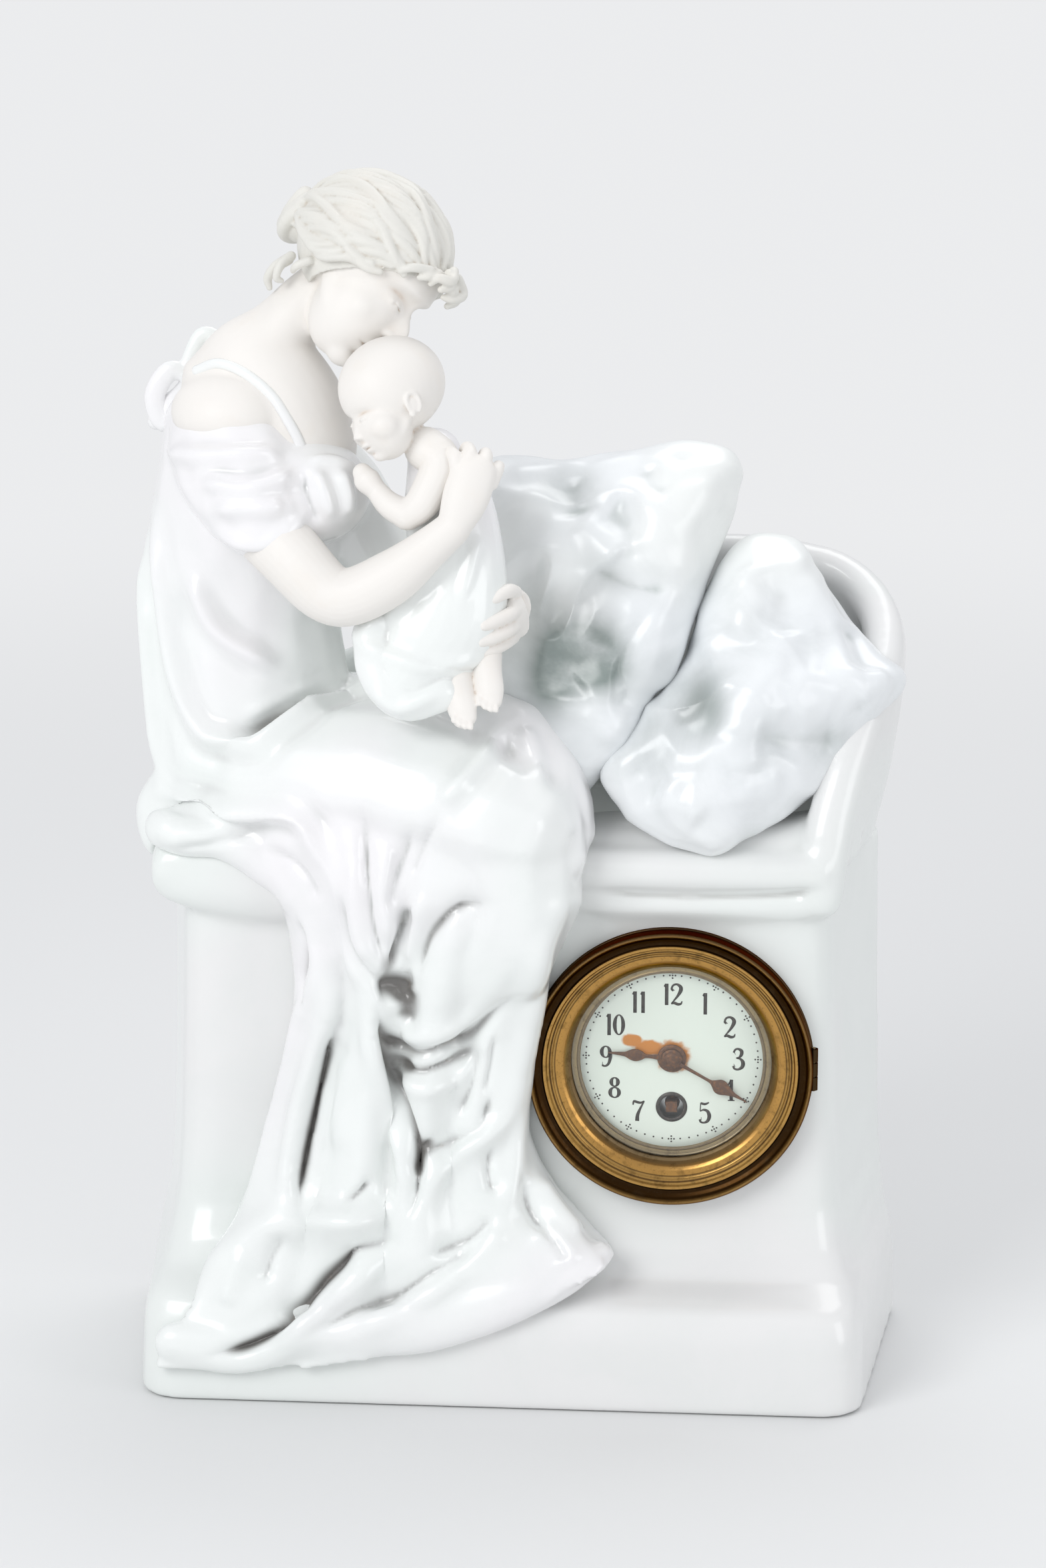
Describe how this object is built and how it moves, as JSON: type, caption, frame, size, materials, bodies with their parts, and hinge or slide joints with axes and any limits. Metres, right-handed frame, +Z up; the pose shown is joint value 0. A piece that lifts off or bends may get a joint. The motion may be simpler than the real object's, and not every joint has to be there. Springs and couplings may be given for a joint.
{
  "type": "table clock",
  "caption": "Porcelain figure group of a seated mother and infant on a settee with cushions, with a round spring-driven clock in the settee's front.",
  "frame": {"origin": "on the table, under the middle of the object's outer box", "axes": "+X to the viewer's right along the settee, +Y to the back, +Z up"},
  "size_m": [0.253, 0.1155, 0.3995],
  "materials": {
    "glaze": "clear glaze over celadon-white porcelain",
    "bisque": "unglazed warm white porcelain",
    "aged_brass": "brown aged brass",
    "brass": "gilt brass, worn",
    "steel": "brushed",
    "hand_steel": "blued steel, rusted brown",
    "enamel": "white enamel dial, stained",
    "clear_glass": "flat clear glass"
  },
  "bodies": {
    "case": {"settee_body": "glaze", "figure_gown": "glaze", "figure_head": "bisque", "infant": "bisque", "figure_right_arm": "bisque", "figure_left_hand": "bisque", "small_cushion": "glaze", "large_cushion": "glaze", "drum_case": "aged_brass", "hinge_pin": "brass", "dial_plate": "enamel", "winding_grommet": "aged_brass", "front_plate": "brass", "back_plate": "brass", "pillar_1": "brass", "pillar_2": "brass", "pillar_3": "brass", "pillar_4": "brass", "click_screw": "steel", "click_spring": "steel", "balance_cock": "brass", "back_cover": "aged_brass", "clamp_ring": "brass", "clamp_screw_top": "steel", "clamp_screw_bottom": "steel"},
    "bezel": {"bezel_ring": "brass", "bezel_glass": "clear_glass", "sight_ring": "aged_brass"},
    "minute_train": {"minute_arbor": "steel", "cannon_pinion": "steel", "minute_hand": "hand_steel", "hand_collet": "brass", "setting_knob": "brass"},
    "hour_train": {"hour_wheel": "brass", "hour_hand": "hand_steel"},
    "minute_wheel_body": {"minute_wheel": "brass"},
    "barrel_body": {"barrel": "brass", "barrel_cover": "brass", "mainspring": "steel"},
    "centre_body": {"centre_wheel": "brass"},
    "third_body": {"third_wheel": "brass"},
    "fourth_body": {"fourth_wheel": "brass"},
    "escape_body": {"escape_wheel": "brass"},
    "lever_body": {"pallet_lever": "steel"},
    "balance_body": {"balance_wheel": "brass", "hairspring": "steel"},
    "winding_body": {"barrel_arbor": "steel", "ratchet_wheel": "steel"},
    "click_body": {"click": "steel"},
    "index_body": {"regulator_index": "steel"}
  },
  "joints": [
    {"name": "bezel_hinge", "type": "hinge", "parent": "case", "child": "bezel", "pos_m": [0.1006, -0.0272, 0.1107], "axis": [0, 0, 1], "range_deg": [0, 110]},
    {"name": "hand_setting", "type": "hinge", "parent": "case", "child": "minute_train", "pos_m": [0.0542, 0, 0.1107], "axis": [0, 1, 0], "continuous": true},
    {"name": "hour_turn", "type": "hinge", "parent": "case", "child": "hour_train", "pos_m": [0.0542, 0, 0.1107], "axis": [0, 1, 0], "continuous": true},
    {"name": "minute_wheel_turn", "type": "hinge", "parent": "case", "child": "minute_wheel_body", "pos_m": [0.0592, 0, 0.11936], "axis": [0, 1, 0], "continuous": true},
    {"name": "fourth_turn", "type": "hinge", "parent": "case", "child": "fourth_body", "pos_m": [0.05616, 0, 0.12443], "axis": [0, 1, 0], "continuous": true},
    {"name": "third_turn", "type": "hinge", "parent": "case", "child": "third_body", "pos_m": [0.04465, 0, 0.12025], "axis": [0, 1, 0], "continuous": true},
    {"name": "centre_turn", "type": "hinge", "parent": "case", "child": "centre_body", "pos_m": [0.0542, 0, 0.1107], "axis": [0, 1, 0], "continuous": true},
    {"name": "barrel_turn", "type": "hinge", "parent": "case", "child": "barrel_body", "pos_m": [0.0542, 0, 0.0937], "axis": [0, 1, 0], "continuous": true},
    {"name": "escape_turn", "type": "hinge", "parent": "case", "child": "escape_body", "pos_m": [0.06543, 0, 0.12011], "axis": [0, 1, 0], "continuous": true},
    {"name": "lever_swing", "type": "hinge", "parent": "case", "child": "lever_body", "pos_m": [0.07286, 0, 0.1174], "axis": [0, 1, 0], "range_deg": [-5, 5]},
    {"name": "balance_swing", "type": "hinge", "parent": "case", "child": "balance_body", "pos_m": [0.07607, 0, 0.10751], "axis": [0, 1, 0], "range_deg": [-135, 135], "stiffness_Nm_per_rad": 0.000012},
    {"name": "winding", "type": "hinge", "parent": "case", "child": "winding_body", "pos_m": [0.0542, 0, 0.0937], "axis": [0, 1, 0], "continuous": true},
    {"name": "click_swing", "type": "hinge", "parent": "case", "child": "click_body", "pos_m": [0.0667, 0, 0.0937], "axis": [0, 1, 0], "range_deg": [0, 10], "stiffness_Nm_per_rad": 0.001},
    {"name": "index_swing", "type": "hinge", "parent": "case", "child": "index_body", "pos_m": [0.07607, 0, 0.10751], "axis": [0, 1, 0], "range_deg": [-20, 20]}
  ],
  "couplings": [
    {"joint": "hour_turn", "follows": "hand_setting", "ratio": 0.083333},
    {"joint": "minute_wheel_turn", "follows": "hand_setting", "ratio": -0.33333},
    {"joint": "third_turn", "follows": "fourth_turn", "ratio": -0.13333},
    {"joint": "centre_turn", "follows": "fourth_turn", "ratio": 0.016667},
    {"joint": "barrel_turn", "follows": "fourth_turn", "ratio": -0.0020833},
    {"joint": "escape_turn", "follows": "fourth_turn", "ratio": -8}
  ]
}
